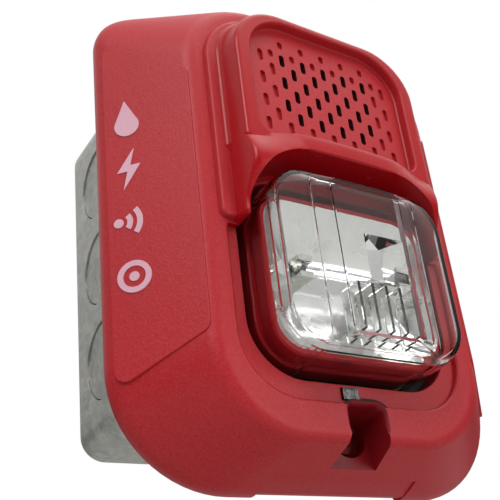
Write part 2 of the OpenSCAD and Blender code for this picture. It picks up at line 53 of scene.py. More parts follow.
class Wire:
    # one output socket; arithmetic on it adds Math nodes
    def __init__(self, sheet, socket):
        self.sheet, self.socket = sheet, socket

    def _math(self, operation, first, second):
        return self.sheet.node("ShaderNodeMath", {"operation": operation}, {0: first, 1: second})

    def __add__(self, other): return self._math("ADD", self, other)
    def __radd__(self, other): return self._math("ADD", other, self)
    def __sub__(self, other): return self._math("SUBTRACT", self, other)
    def __rsub__(self, other): return self._math("SUBTRACT", other, self)
    def __mul__(self, other): return self._math("MULTIPLY", self, other)
    def __rmul__(self, other): return self._math("MULTIPLY", other, self)
    def __truediv__(self, other): return self._math("DIVIDE", self, other)
    def __gt__(self, other): return self._math("GREATER_THAN", self, other)
    def __lt__(self, other): return self._math("LESS_THAN", self, other)
    def __abs__(self): return self._math("ABSOLUTE", self, 0.0)


class Sheet:
    # wraps a node tree, for a material, the world or a Geometry Nodes group
    def __init__(self, tree):
        self.tree = tree
        tree.nodes.clear()

    def node(self, kind, settings=None, inputs=None, out=0):
        made = self.tree.nodes.new(kind)
        for key, value in (settings or {}).items():
            if key == "stops":
                ramp = made.color_ramp
                while len(ramp.elements) < len(value):
                    ramp.elements.new(0.5)
                for element, (spot, colour) in zip(ramp.elements, value):
                    element.position, element.color = spot, colour
            else:
                setattr(made, key, value)
        for key, value in (inputs or {}).items():
            socket = made.inputs[key]
            if isinstance(value, Wire):
                self.tree.links.new(value.socket, socket)
            else:
                socket.default_value = value
        return Wire(self, made.outputs[out]) if len(made.outputs) else made


def linear(red, green, blue):
    def one(c):
        c /= 255
        return c / 12.92 if c <= 0.04045 else ((c + 0.055) / 1.055) ** 2.4
    return (one(red), one(green), one(blue), 1.0)


def newMaterial(name):
    made = bpy.data.materials.new(name)
    made.use_nodes = True
    sheet = Sheet(made.node_tree)
    coords = sheet.node("ShaderNodeTexCoord", out=3)
    return made, sheet, coords


def noise(sheet, coords, size, detail=2.0, roughness=0.5):
    # size is the length of one wave in mm
    return sheet.node("ShaderNodeTexNoise", {},
            {"Vector": coords, "Scale": 1000.0 / size, "Detail": detail, "Roughness": roughness})


def stretch(sheet, coords, scale):
    return sheet.node("ShaderNodeMapping", {}, {"Vector": coords, "Scale": scale})


def blendColours(sheet, factor, first, second):
    return sheet.node("ShaderNodeMix", {"data_type": "RGBA", "blend_type": "MIX", "clamp_factor": True},
            {0: factor, 6: first, 7: second}, out=2)


def bump(sheet, height, strength, distance):
    return sheet.node("ShaderNodeBump", {}, {"Height": height, "Strength": strength, "Distance": distance})


def finishSurface(sheet, **sockets):
    surface = sheet.node("ShaderNodeBsdfPrincipled", {},
            {key.replace("_", " "): value for key, value in sockets.items()})
    sheet.node("ShaderNodeOutputMaterial", {}, {"Surface": surface})


plasticSheen = 0.26


def mouldedPlastic(name, colour, shade, roughness, grain, grainDepth, sheenSpeck=0.0):
    # moulded plastic: a slow drift of colour, a fine spark-eroded grain (size and depth in mm) and a trace of dust,
    # with pale pink flecks on the grain as painted sheen
    made, sheet, coords = newMaterial(name)
    drift = noise(sheet, coords, 45, 3)
    fine = noise(sheet, coords, grain, 3, 0.6)
    medium = noise(sheet, coords, grain * 3.2, 2, 0.5)
    dust = noise(sheet, coords, 9, 6, 0.65)
    base = blendColours(sheet, drift, colour, shade)
    # painted highlight: pale pink flecks in the fine grain stand in for the sheen where the grain catches the light
    base = blendColours(sheet, (fine - 0.5) * sheenSpeck + sheenSpeck * 0.3, base, (0.78, 0.52, 0.55, 1))
    rough = roughness + (dust - 0.5) * 0.12 + (fine - 0.5) * 0.1
    height = fine * 0.7 + medium * 0.5
    finishSurface(sheet, Base_Color=base, Roughness=rough, Specular_IOR_Level=plasticSheen,
            Normal=bump(sheet, height, 1.0, grainDepth * 0.001))
    return made


print("scene: materials")
texturedRed = mouldedPlastic("texturedRed", linear(184, 14, 27), linear(168, 10, 21), 0.38, 0.6, 0.09, 0.10)
smoothRed = mouldedPlastic("smoothRed", linear(176, 12, 23), linear(164, 9, 19), 0.25, 1.6, 0.014)
# painted shade: the housing's own red painted darker in the screw pocket
pocketShadeRed = mouldedPlastic("pocketShadeRed", linear(140, 18, 26), linear(120, 14, 22), 0.4, 0.6, 0.03)
# painted shade: the housing's own red painted very dark for its inside, its open slots, its holes and the holes
# behind the tube ends
insideShadeRed = mouldedPlastic("insideShadeRed", linear(60, 8, 10), linear(50, 6, 8), 0.6, 0.9, 0.03)
baseRed = mouldedPlastic("baseRed", linear(186, 28, 36), linear(170, 22, 30), 0.3, 1.2, 0.02)
# painted shade: the housing's own red painted darker in the lens well
wellShadeRed = mouldedPlastic("wellShadeRed", linear(150, 20, 28), linear(132, 16, 24), 0.42, 0.8, 0.03)


def galvanisedSteel(name, light, dark, roughness):
    # zinc spangle: flat crystals of slightly different tone, with dull stains and fine scratches
    made, sheet, coords = newMaterial(name)
    crystals = sheet.node("ShaderNodeTexVoronoi", {"feature": "F1"},
            {"Vector": coords, "Scale": 210.0, "Randomness": 1.0}, out=1)
    small = sheet.node("ShaderNodeTexVoronoi", {"feature": "F1"},
            {"Vector": coords, "Scale": 620.0, "Randomness": 1.0}, out=1)
    tone = sheet.node("ShaderNodeSeparateColor", {}, {"Color": crystals}, out=0)
    fineTone = sheet.node("ShaderNodeSeparateColor", {}, {"Color": small}, out=1)
    stain = noise(sheet, coords, 22, 5, 0.6)
    scratch = noise(sheet, stretch(sheet, coords, (40, 900, 3200)), 1000, 2)
    mixTone = tone * 0.45 + fineTone * 0.3 + stain * 0.35 - 0.08
    base = blendColours(sheet, mixTone, dark, light)
    rough = roughness + (tone - 0.5) * 0.16 + (stain - 0.5) * 0.3
    height = tone * 0.25 + fineTone * 0.25 + scratch * 0.5
    finishSurface(sheet, Base_Color=base, Metallic=0.55 + (tone - 0.5) * 0.2, Roughness=rough,
            Normal=bump(sheet, height, 0.5, 0.00012))
    return made


def metal(name, colour, shade, roughness, brush=(900, 60, 900), depth=0.00004, metallic=1.0):
    made, sheet, coords = newMaterial(name)
    grain = noise(sheet, stretch(sheet, coords, brush), 1000, 3)
    smut = noise(sheet, coords, 6, 4)
    base = blendColours(sheet, smut, colour, shade)
    finishSurface(sheet, Base_Color=base, Metallic=metallic,
            Roughness=roughness + (grain - 0.5) * 0.16 + (smut - 0.5) * 0.1, Normal=bump(sheet, grain, 0.4, depth))
    return made


def clearPlastic(name, colour, roughness, ior, wave=14.0):
    # clear moulded plastic with the slow waviness of a moulded wall
    made, sheet, coords = newMaterial(name)
    slow = noise(sheet, coords, wave, 2)
    haze = noise(sheet, coords, 3.5, 4)
    finishSurface(sheet, Base_Color=blendColours(sheet, haze, colour, tuple(c * 0.97 for c in colour[:3]) + (1,)),
                  Roughness=roughness + haze * 0.02, IOR=ior, Transmission_Weight=1.0,
                  Normal=bump(sheet, slow, 0.35, 0.0004))
    return made


galvanised = galvanisedSteel("galvanisedSteel", linear(206, 205, 198), linear(146, 146, 141), 0.42)
slugSteel = galvanisedSteel("slugSteel", linear(198, 197, 190), linear(140, 140, 136), 0.46)
clearLens = clearPlastic("clearLens", (0.985, 0.99, 0.985, 1), 0.01, 1.36)
clearWindow = clearPlastic("clearWindow", (0.92, 0.94, 0.95, 1), 0.12, 1.49, 4.0)
tubeGlass = clearPlastic("tubeGlass", (0.97, 0.98, 1.0, 1), 0.02, 1.46, 5.0)


def mirrorCoat(name):
    # vacuum-coated plastic: bright, with orange peel and faint haze
    made, sheet, coords = newMaterial(name)
    peel = noise(sheet, coords, 2.6, 3)
    haze = noise(sheet, coords, 7, 4)
    base = blendColours(sheet, haze, (0.95, 0.95, 0.93, 1), (0.86, 0.87, 0.85, 1))
    finishSurface(sheet, Base_Color=base, Metallic=0.62 + haze * 0.2, Roughness=0.05 + haze * 0.09,
            Normal=bump(sheet, peel, 0.3, 0.00006))
    return made


mirror = mirrorCoat("mirrorCoat")
markInk = mouldedPlastic("markInk", linear(224, 176, 190), linear(212, 160, 176), 0.42, 0.5, 0.05, 0.2)
nodeFinishes = {
    "galvanised": galvanised,
    "slug_metal": slugSteel,
    "pale_marks": markInk,
    "red_housing": texturedRed,
    "zinc_screw": metal("zincPlate", linear(196, 196, 188), linear(168, 168, 160), 0.3),
    "green_screw": metal("greenDye", linear(40, 120, 62), linear(30, 98, 50), 0.32, metallic=0.7),
    "plate_plastic": mouldedPlastic("platePlastic", linear(206, 205, 198), linear(196, 194, 186), 0.45, 0.8, 0.03),
    "terminal_plastic": mouldedPlastic("terminalPlastic", linear(226, 224, 214), linear(214, 212, 202), 0.38,
            0.7, 0.02),
    "bronze": metal("bronzeStrip", linear(206, 164, 92), linear(178, 136, 74), 0.28),
    "black_plastic": mouldedPlastic("blackPlastic", linear(38, 38, 40), linear(30, 30, 32), 0.42, 0.7, 0.04),
    "capacitor_sleeve": mouldedPlastic("capacitorSleeve", linear(34, 36, 48), linear(28, 30, 42), 0.22, 1.2, 0.01),
    "copper_winding": metal("copperWinding", linear(186, 104, 60), linear(150, 80, 44), 0.3, (300, 300, 5200),
            0.00012),
    "coil_tape": mouldedPlastic("coilTape", linear(214, 172, 58), linear(198, 156, 48), 0.3, 1.4, 0.01),
    "ceramic": mouldedPlastic("ceramic", linear(232, 231, 226), linear(220, 219, 212), 0.28, 0.8, 0.01),
    "clear_lens": clearLens,
    "black_rubber": mouldedPlastic("blackRubber", linear(16, 15, 16), linear(11, 11, 12), 0.6, 0.6, 0.03),
    "mirror_plate": mirror,
    "clear_glass": tubeGlass,
    "orange_plastic": mouldedPlastic("orangePlastic", linear(228, 116, 34), linear(214, 102, 28), 0.34, 0.8, 0.02),
    "white_plastic": mouldedPlastic("whitePlastic", linear(232, 231, 224), linear(222, 220, 212), 0.36, 0.8, 0.02),
    "red_screw": metal("redScrew", linear(120, 26, 30), linear(92, 18, 22), 0.34, metallic=0.6),
}


def circuitBoard():
    made, sheet, coords = newMaterial("circuitBoard")
    tracks = sheet.node("ShaderNodeTexBrick", {"offset": 0.5},
            {"Vector": stretch(sheet, coords, (150, 150, 150)), "Color1": linear(24, 92, 52),
            "Color2": linear(30, 104, 60), "Mortar": linear(52, 140, 84), "Scale": 1.0, "Mortar Size": 0.03})
    weave = noise(sheet, stretch(sheet, coords, (1600, 1600, 1600)), 1000, 2)
    finishSurface(sheet, Base_Color=tracks, Roughness=0.3 + weave * 0.1, Normal=bump(sheet, weave, 0.3, 0.00004))
    return made


nodeFinishes["board"] = circuitBoard()


def dress(node, material):
    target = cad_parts[node]
    if not target.material_slots:
        target.data.materials.append(material)
    for slot in target.material_slots:
        slot.material = material


nodeSlots = {
    "knockout_slugs": "slug_metal", "ground_screw": "green_screw", "mounting_plate": "plate_plastic",
    "plate_screws": "zinc_screw",
    "terminal_block": "terminal_plastic", "terminal_clamps": "bronze", "terminal_screws": "zinc_screw",
    "shorting_spring": "bronze",
    "flank_marks": "pale_marks", "rear_cover": "black_plastic", "cover_screws": "zinc_screw",
    "circuit_board": "board",
    "contact_blades": "bronze", "storage_capacitor": "capacitor_sleeve", "charge_inductor": "copper_winding",
    "trigger_coil": "coil_tape",
    "horn_chamber": "black_plastic", "diaphragm_disc": "bronze", "piezo_disc": "ceramic", "lens_seal": "black_rubber",
    "tube_shroud": "ceramic", "flash_tube": "clear_glass", "tube_electrodes": "zinc_screw",
    "candela_selector": "white_plastic",
    "tone_selector": "orange_plastic", "screw_retainer": "black_plastic", "captive_screw": "red_screw",
}
for nodeName, slotName in nodeSlots.items():
    dress(nodeName, nodeFinishes[slotName])
dress("candela_window", clearWindow)


# ---- mesh tools

def outline(half, low, high, rLow, rHigh, cornerSteps=12, sideSteps=1):
    # rounded outline, anticlockwise from the front, starting at the bottom right
    points = []
    corners = ((half - rLow, low + rLow, rLow, -90), (half - rHigh, high - rHigh, rHigh, 0),
            (-half + rHigh, high - rHigh, rHigh, 90), (-half + rLow, low + rLow, rLow, 180))
    for index, (cx, cz, radius, start) in enumerate(corners):
        for step in range(cornerSteps + 1):
            angle = math.radians(start + 90 * step / cornerSteps)
            points.append((cx + radius * math.cos(angle), cz + radius * math.sin(angle)))
        nx, nz, nr, nstart = corners[(index + 1) % 4]
        first = points[-1]
        last = (nx + nr * math.cos(math.radians(nstart)), nz + nr * math.sin(math.radians(nstart)))
        for step in range(1, sideSteps):
            share = step / sideSteps
            points.append((first[0] + (last[0] - first[0]) * share, first[1] + (last[1] - first[1]) * share))
    return points


def loft(name, stages, materials, materialIndex=0, cornerSteps=12, sideSteps=1, bend=None):
    # closed solid through rounded outlines; a stage is (half, low, high, rLow, rHigh, depth)
    rings = []
    for half, low, high, rLow, rHigh, depth in stages:
        points = outline(half, low, high, rLow, rHigh, cornerSteps, sideSteps)
        rings.append([bend(x, z, depth) if bend else (x, z, depth) for x, z in points])
    return stack(name, rings, materials, materialIndex)


def stack(name, rings, materials, materialIndex=0):
    # closed solid through rings of (x, z, depth) points
    mesh = bmesh.new()
    made = [[mesh.verts.new(place(*point)) for point in ring] for ring in rings]
    count = len(made[0])
    for back, front in zip(made, made[1:]):
        for k in range(count):
            mesh.faces.new((back[k], back[(k + 1) % count], front[(k + 1) % count], front[k]))
    mesh.faces.new(made[-1])
    mesh.faces.new(list(reversed(made[0])))
    return solid(name, mesh, materials, materialIndex)


def plate(name, points, low, high, materials, materialIndex=0):
    # flat outline of (x, z) points between two depths
    return stack(name, [[(x, z, depth) for x, z in points] for depth in (low, high)], materials, materialIndex)


def disc(name, x, z, radius, low, high, materials, materialIndex=0, steps=48):
    # round bar along the depth direction
    turns = [2 * math.pi * k / steps for k in range(steps)]
    return plate(name, [(x + radius * math.cos(t), z + radius * math.sin(t)) for t in turns], low, high,
            materials, materialIndex)


def solid(name, mesh, materials, materialIndex=0):
    bmesh.ops.remove_doubles(mesh, verts=mesh.verts, dist=1e-7)
    bmesh.ops.recalc_face_normals(mesh, faces=mesh.faces)
    for face in mesh.faces:
        face.material_index = materialIndex
    data = bpy.data.meshes.new(name)
    mesh.to_mesh(data)
    mesh.free()
    for material in materials:
        data.materials.append(material)
    made = bpy.data.objects.new(name, data)
    scene.collection.objects.link(made)
    return made


def combine(target, tool, operation):
    # joins, cuts or crosses target with tool, then removes tool
    modifier = target.modifiers.new("combine", "BOOLEAN")
    modifier.operation, modifier.object, modifier.solver = operation, tool, "MANIFOLD"
    bake(target)
    bpy.data.objects.remove(tool)


def bake(target):
    # puts the evaluated mesh in place of the modifiers
    graph = bpy.context.evaluated_depsgraph_get()
    graph.update()
    result = bpy.data.meshes.new_from_object(target.evaluated_get(graph), preserve_all_data_layers=True,
            depsgraph=graph)
    target.modifiers.clear()
    old = target.data
    target.data = result
    result.name = old.name
    bpy.data.meshes.remove(old)


def smooth(target, angle=32):
    # smooth shading up to an angle, with large faces keeping their own normals
    mesh = bmesh.new()
    mesh.from_mesh(target.data)
    bmesh.ops.remove_doubles(mesh, verts=mesh.verts, dist=2e-6)
    bmesh.ops.dissolve_degenerate(mesh, edges=mesh.edges, dist=1e-6)
    for face in mesh.faces:
        face.smooth = True
    for edge in mesh.edges:
        edge.smooth = len(edge.link_faces) == 2 and edge.calc_face_angle(0) < math.radians(angle)
    mesh.to_mesh(target.data)
    mesh.free()
    weigh = target.modifiers.new("weigh", "WEIGHTED_NORMAL")
    weigh.keep_sharp, weigh.weight = True, 90
    bake(target)


def between(first, second, share):
    return tuple(a + (b - a) * share for a, b in zip(first, second))


def softCorner(before, corner, after, steps=6):
    # stages that round a corner of the profile
    made = []
    for step in range(steps + 1):
        share = step / steps
        made.append(between(between(before, corner, share), between(corner, after, share), share))
    return made


def inset(stage, amount, rise=0.0):
    half, low, high, rLow, rHigh, depth = stage
    return (half - amount, low + amount, high - amount, max(rLow - amount, 0.3), max(rHigh - amount, 0.3),
            depth + rise)


# ---- Geometry Nodes

def nodeGroup(name, inputs):
    # a group with named inputs: {name: (socket type, default)}
    group = bpy.data.node_groups.new(name, "GeometryNodeTree")
    group.interface.new_socket("Geometry", in_out="OUTPUT", socket_type="NodeSocketGeometry")
    for key, (kind, value) in inputs.items():
        group.interface.new_socket(key, in_out="INPUT", socket_type=kind).default_value = value
    sheet = Sheet(group)
    entry = group.nodes.new("NodeGroupInput")
    wires = {key: Wire(sheet, entry.outputs[key]) for key in inputs}
    return group, sheet, wires


def closeGroup(sheet, geometry, material):
    real = sheet.node("GeometryNodeRealizeInstances", {}, {0: geometry})
    done = sheet.node("GeometryNodeSetMaterial", {}, {"Geometry": real, "Material": material})
    ending = sheet.tree.nodes.new("NodeGroupOutput")
    sheet.tree.links.new(done.socket, ending.inputs[0])


def growMesh(name, group, values, materials):
    # runs the group on an empty mesh, with its inputs set by identifier, and bakes the result
    made = bpy.data.objects.new(name, bpy.data.meshes.new(name))
    scene.collection.objects.link(made)
    modifier = made.modifiers.new("grow", "NODES")
    modifier.node_group = group
    for item in group.interface.items_tree:
        if item.in_out == "INPUT" and item.name in values:
            modifier[item.identifier] = values[item.name]
    bake(made)
    made.data.materials.clear()
    for material in materials:
        made.data.materials.append(material)
    return made


# ---- housing

# housing reds by index: textured, smooth, pocket, inside and well; the last three are the same red painted darker as
# painted shade
housingMaterials = [texturedRed, smoothRed, pocketShadeRed, insideShadeRed, wellShadeRed]
housing = {
    "rear": (58.6, -69.6, 70.1, 29.1, 13.1, 0.4),
    "rim": (59.5, -71.0, 71.0, 30.0, 14.0, 0.4),
    "band": 5.0,
    "face": (41.0, -62.7, 70.0, 24.0, 26.0, 24.0),
    "wall": 2.2,
    "stepFoot": (36.9, -6.0, 64.7, 2.0, 19.0, 17.0),
    "stepTop": (36.4, -5.7, 64.1, 1.8, 18.6, 25.6),
    "blockFoot": (33.2, 14.5, 63.8, 2.0, 17.1, 24.0),
    "blockFront": (31.4, 14.5, 62.3, 2.0, 16.0, 33.0),
    "blockHollow": [(29.6, 18.5, 60.3, 2, 14, 16.0), (29.6, 18.5, 60.3, 2, 14, 23.0),
            (26.9, 18.5, 59.8, 2, 13, 27.6)],
    "panel": (26.9, 18.5, 59.8, 4.0, 14.0, 29.8),
    "hood": (33.2, -7.0, 30.0, 1.5, 2.0, 37.0),
    "hoodBow": 250.0,
    "legDrop": 4.9,
    "rampDrop": 4.2,
    "mostDrop": 7.4,
    "bendBase": 23.0,
    "taper": 0.2,
    "well": (31.2, -47.4, 9.5, 15.0, 15.0, 16.5),
    "lensHole": (29.45, -45.65, 7.75, 13.0, 13.0, 8.0),
    "archTop": 12.6,
    "archRadius": 17.0,
    "ledge": (34.6, -52.8, -6.0, 16.0, 3.0, 22.4),
    "ledgeKeep": (38, -7.2, 22, 1, 1),
    "pocketWall": 3.6,
    "pocketRadius": 5.4,
    "pocketCentre": -58.5,
    "pocketFloor": 11.0,
    "pocketLedge": 14.4,
    "pocketSplay": 2.6,
    "screwHole": 2.6,
    "windowSlot": ((-6.2, -51.9), (-1.2, -51.9), (-1.2, -48.5), (-6.2, -48.5)),
    "recessHalf": 23.0,
    "recessProfile": ((-76, -1.0), (-69.1, -1.0), (-70.3, 2.6), (-70.5, 5.2), (-67.95, 10.8), (-68.6, 11.6),
            (-76, 12.4)),
    "clear": 40.0,
    "padRise": 0.4,
    "padCorners": ((22.5, 39.4, 0, 57), (4.2, 51.4, 57, 180), (4.2, -43.3, 180, 294), (22.5, -35.0, 294, 360)),
}


def bodyStages(offset=0.0):
    rim, face = housing["rim"], housing["face"]
    full = lambda depth: inset((*rim[:5], depth), offset)
    band, top = full(housing["band"]), inset(face, offset)
    if offset:
        stages = [full(-3.0), full(1.0)]
    else:
        stages = softCorner(housing["rear"], full(0.9), full(3.0), 5)
    stages += softCorner(full(housing["band"] - 1.6), band, between(band, top, 0.11), 5)
    ridge = between(band, top, 0.9)
    stages += softCorner(ridge, top, inset(top, 2.6), 8)
    return stages


def easeIn(share):
    share = max(0.0, min(1.0, share))
    return share * share * (3 - 2 * share)


def hoodBend(x, z, depth):
    # the hood bows forward in the middle, its legs fall back lower down and its top runs down onto the block
    base, top = housing["bendBase"], housing["hood"][5]
    if depth <= base:
        return x, z, depth
    drop = x * x / (2 * housing["hoodBow"]) + housing["legDrop"] * easeIn((8.0 - z) / 12.0)
    # the run-down lies lower at the sides, where it meets the rim of the grille panel
    drop += housing["rampDrop"] * easeIn((z - 16.0 + 7.0 * easeIn((abs(x) - 16.0) / 12.0)) / 13.0)
    drop = min(drop, housing["mostDrop"])
    bent = base + (depth - base) * (top - base - drop) / (top - base)
    side = housing["hood"][0] - housing["taper"] * max(0.0, bent - housing["face"][5])
    return x * side / housing["hood"][0], z, bent


def flankPad(side):
    # low panel on a flank, in a frame that lies on the slope: (up the slope, z, lift)
    rim, face = housing["rim"], housing["face"]
    slope = math.atan2(face[5] - housing["band"], rim[0] - face[0])
    rings = []
    for radius, lift in ((3.0, -1.2), (3.0, housing["padRise"] - 0.25), (2.92, housing["padRise"] - 0.08),
            (2.75, housing["padRise"])):
        ring = []
        for up, z, start, end in housing["padCorners"]:
            for step in range(9):
                turn = math.radians(start + (end - start) * step / 8)
                u, v = up + radius * math.cos(turn), z + radius * math.sin(turn)
                ring.append((side * (-rim[0] + u * math.cos(slope) - lift * math.sin(slope)), v,
                        housing["band"] + u * math.sin(slope) + lift * math.cos(slope)))
        rings.append(ring)
    return stack("flankPad", rings, housingMaterials, 0)


def buildHousing():
    mats, clear = housingMaterials, housing["clear"]
    shell = loft("housing", bodyStages(), mats, 0, 16)
    for side in (1, -1):
        combine(shell, flankPad(side), "UNION")
    foot, stepTop, faceDepth = housing["stepFoot"], housing["stepTop"], housing["face"][5]
    strip = loft("strip", [foot, (*foot[:5], faceDepth)] + softCorner((*between(foot, stepTop, 0.6)[:5], 25.1),
            stepTop, inset(stepTop, 0.7), 3), mats, 0, 14)
    combine(shell, strip, "UNION")
    low, front = housing["blockFoot"], housing["blockFront"]
    wall = [(*low[:5], 20.0), (*low[:5], 24.0)]
    wall += softCorner((low[0] + 0.9, low[1], low[2] + 0.7, 2.0, low[4] + 0.7, 25.6),
            (low[0] - 0.1, low[1], low[2] - 0.1, 2.0, low[4] - 0.1, 25.65), between(low, front, 0.35), 5)
    wall += softCorner(between(low, front, 0.86), front, inset(front, 1.5), 6)
    combine(shell, loft("block", wall, mats, 1, 14), "UNION")
    hoodTop = housing["hood"]
    stages = [(*hoodTop[:5], 22.0), (*hoodTop[:5], 29.0)] + softCorner((*hoodTop[:5], 35.4), hoodTop,
            inset(hoodTop, 1.7), 5)
    stages += [inset(hoodTop, step) for step in (3, 5, 8, 11, 14, 17)]
    combine(shell, loft("hood", stages, mats, 1, 8, 20, hoodBend), "UNION")
    # interior, in the very dark red as painted shade
    hollow = [(*stage[:5], min(stage[5], 21.8)) for stage in bodyStages(housing["wall"])]
    combine(shell, loft("hollow", hollow[:-3], mats, 3, 12), "DIFFERENCE")
    combine(shell, loft("blockHollow", housing["blockHollow"], mats, 3, 12), "DIFFERENCE")
    # grille panel recess with a rounded mouth
    panel = housing["panel"]
    mouth = (*panel[:5], 33.0)
    recess = [inset(panel, 0.35), (*panel[:5], 30.15), (*panel[:5], 31.8)]
    recess += softCorner((*panel[:5], 32.0), (*panel[:5], 33.05), inset(mouth, -1.0, 0.1),
            5) + [inset(mouth, -1.0, 6)]
    combine(shell, loft("recess", recess, mats, 0, 14), "DIFFERENCE")
    # ledge round the lower part of the lens
    ledge = housing["ledge"]
    ledgeCut = [ledge] + softCorner(inset(ledge, -0.1, 0.8), inset(ledge, -0.2, 1.6), inset(ledge, -1.2, 1.65),
            4) + [inset(ledge, -1.2, 1.9)]
    ledgeTool = loft("ledge", ledgeCut, mats, 0, 14)
    keep = loft("keep", [(*housing["ledgeKeep"], 20.0), (*housing["ledgeKeep"], clear)], mats, 1, 4)
    combine(ledgeTool, keep, "DIFFERENCE")
    combine(shell, ledgeTool, "DIFFERENCE")
    # walls of the lens well and of the screw pocket, kept inside the body, in darker reds as painted shade
    well = housing["well"]
    outer = inset(well, -2)
    combine(shell, loft("wellBlock", [(*outer[:5], 14.9), (*outer[:5], 22.3)], mats, 4, 12), "UNION")
    radius, centre = housing["pocketRadius"], housing["pocketCentre"]
    wide = radius + housing["pocketWall"]
    pocketBlock = loft("pocketBlock", [(wide, -90, centre + radius + 1.6, 1, radius + 1.5, 9.0),
            (wide, -90, centre + radius + 1.6, 1, radius + 1.5, 31.0)], mats, 3, 10)
    bodyCopy = loft("bodyCopy", [inset(s, 0.05, -0.05) for s in bodyStages()], mats, 3, 16)
    combine(pocketBlock, bodyCopy, "INTERSECT")
    combine(shell, pocketBlock, "UNION")
    # well, arch and lens hole; the well walls in the darker well red and the lens hole in the very dark red, both as
    # painted shade
    wellCut = [well, (*well[:5], 21.2)] + softCorner((*well[:5], 21.4), (*well[:5], 22.45),
            inset((*well[:5], 22.5), -0.7), 4) + [inset((*well[:5], 23.0), -0.7)]
    combine(shell, loft("wellCut", wellCut, mats, 4, 12), "DIFFERENCE")
    arch = (well[0], well[1], housing["archTop"], well[3], housing["archRadius"], 22.6)
    combine(shell, loft("archCut", [arch, (*arch[:5], 45.0)], mats, 1, 14), "DIFFERENCE")
    hole = housing["lensHole"]
    combine(shell, loft("lensHole", [hole, (*hole[:5], well[5] + 1.0)], mats, 3, 12), "DIFFERENCE")
    # screw pocket, with a splayed mouth and a ledge under the screw head; its walls, the screw hole and the window
    # slot are in the darker pocket red as painted shade
    mouth = [(radius, centre - radius, centre + radius, radius, 2.0, housing["pocketFloor"])]
    mouth += softCorner((*mouth[0][:5], 22.0), (*mouth[0][:5], 24.05), inset(mouth[0], -1.5, 13.1),
            4) + [inset(mouth[0], -1.5, 29.0)]
    combine(shell, loft("pocket", mouth, mats, 2, 12), "DIFFERENCE")
    splay = radius + housing["pocketSplay"]
    mouth = [(-radius, centre), (-splay, centre - 12), (splay, centre - 12), (radius, centre)]
    combine(shell, plate("pocketMouth", mouth, housing["pocketLedge"], clear, mats, 2), "DIFFERENCE")
    combine(shell, disc("screwHole", 0, centre, housing["screwHole"], 0.0, 20.0, mats, 2), "DIFFERENCE")
    combine(shell, plate("windowSlot", housing["windowSlot"], well[5] - 1.0, clear, mats, 2), "DIFFERENCE")
    # shallow recess across the bottom wall
    sides = [[(x, z, depth) for z, depth in housing["recessProfile"]] for x in (-housing["recessHalf"],
            housing["recessHalf"])]
    combine(shell, stack("bottomRecess", sides, mats, 0), "DIFFERENCE")
    return shell


def slotGroup():
    # rows of sound slots; odd columns stand half a pitch lower, and "Outer" picks the blind ones round the edge
    group, sheet, value = nodeGroup("soundSlots", {
        "Column Pitch": ("NodeSocketFloat", 0.00362), "Row Pitch": ("NodeSocketFloat", 0.008),
        "Columns": ("NodeSocketInt", 13), "Rows": ("NodeSocketInt", 4),
        "Slot Width": ("NodeSocketFloat", 0.0017), "Slot Length": ("NodeSocketFloat", 0.0043),
        "Reach": ("NodeSocketFloat", 0.006),
        "Open Columns": ("NodeSocketFloat", 4.5), "Lowest": ("NodeSocketFloat", -0.0143),
        "Lowest Open": ("NodeSocketFloat", -0.0107), "Outer": ("NodeSocketFloat", 0.0),
        "Place": ("NodeSocketVector", (0.0, 0.0, 0.0))})
    grid = sheet.node("GeometryNodeMeshGrid", {},
            {"Size X": (value["Columns"] - 1) * value["Column Pitch"],
            "Size Y": (value["Rows"] - 1) * value["Row Pitch"], "Vertices X": value["Columns"],
            "Vertices Y": value["Rows"]})
    spot = sheet.node("GeometryNodeInputPosition")
    x = sheet.node("ShaderNodeSeparateXYZ", {}, {0: spot}, out=0)
    column = sheet.node("ShaderNodeMath", {"operation": "ROUND"}, {0: x / value["Column Pitch"]})
    odd = sheet.node("ShaderNodeMath", {"operation": "FLOORED_MODULO"}, {0: column, 1: 2.0})
    shift = sheet.node("ShaderNodeCombineXYZ", {}, {"Y": odd * value["Row Pitch"] * -0.5})
    moved = sheet.node("GeometryNodeSetPosition", {}, {"Geometry": grid, "Offset": shift})
    spot2 = sheet.node("GeometryNodeInputPosition")
    x2 = sheet.node("ShaderNodeSeparateXYZ", {}, {0: spot2}, out=0)
    y2 = sheet.node("ShaderNodeSeparateXYZ", {}, {0: spot2}, out=1)
    isOpen = (abs(x2 / value["Column Pitch"]) < value["Open Columns"]) * (y2 > value["Lowest Open"])
    wanted = (isOpen * (1 - value["Outer"]) + (1 - isOpen) * value["Outer"]) * (y2 > value["Lowest"])
    points = sheet.node("GeometryNodeMeshToPoints", {}, {"Mesh": moved, "Selection": wanted > 0.5})
    shape = sheet.node("GeometryNodeCurvePrimitiveQuadrilateral", {"mode": "RECTANGLE"},
            {"Width": value["Slot Width"], "Height": value["Slot Length"]})
    shape = sheet.node("GeometryNodeFilletCurve", {"mode": "POLY"},
            {"Curve": shape, "Count": 4, "Radius": value["Slot Width"] * 0.49})
    path = sheet.node("GeometryNodeCurvePrimitiveLine", {"mode": "POINTS"},
            {"Start": (0, 0, 0), "End": sheet.node("ShaderNodeCombineXYZ", {}, {"Z": value["Reach"]})})
    bar = sheet.node("GeometryNodeCurveToMesh", {}, {"Curve": path, "Profile Curve": shape, "Fill Caps": True})
    bars = sheet.node("GeometryNodeInstanceOnPoints", {}, {"Points": points, "Instance": bar})
    turned = sheet.node("GeometryNodeTransform", {},
            {"Geometry": bars, "Translation": value["Place"], "Rotation": (math.pi / 2, 0.0, 0.0)})
    closeGroup(sheet, turned, insideShadeRed)
    return group


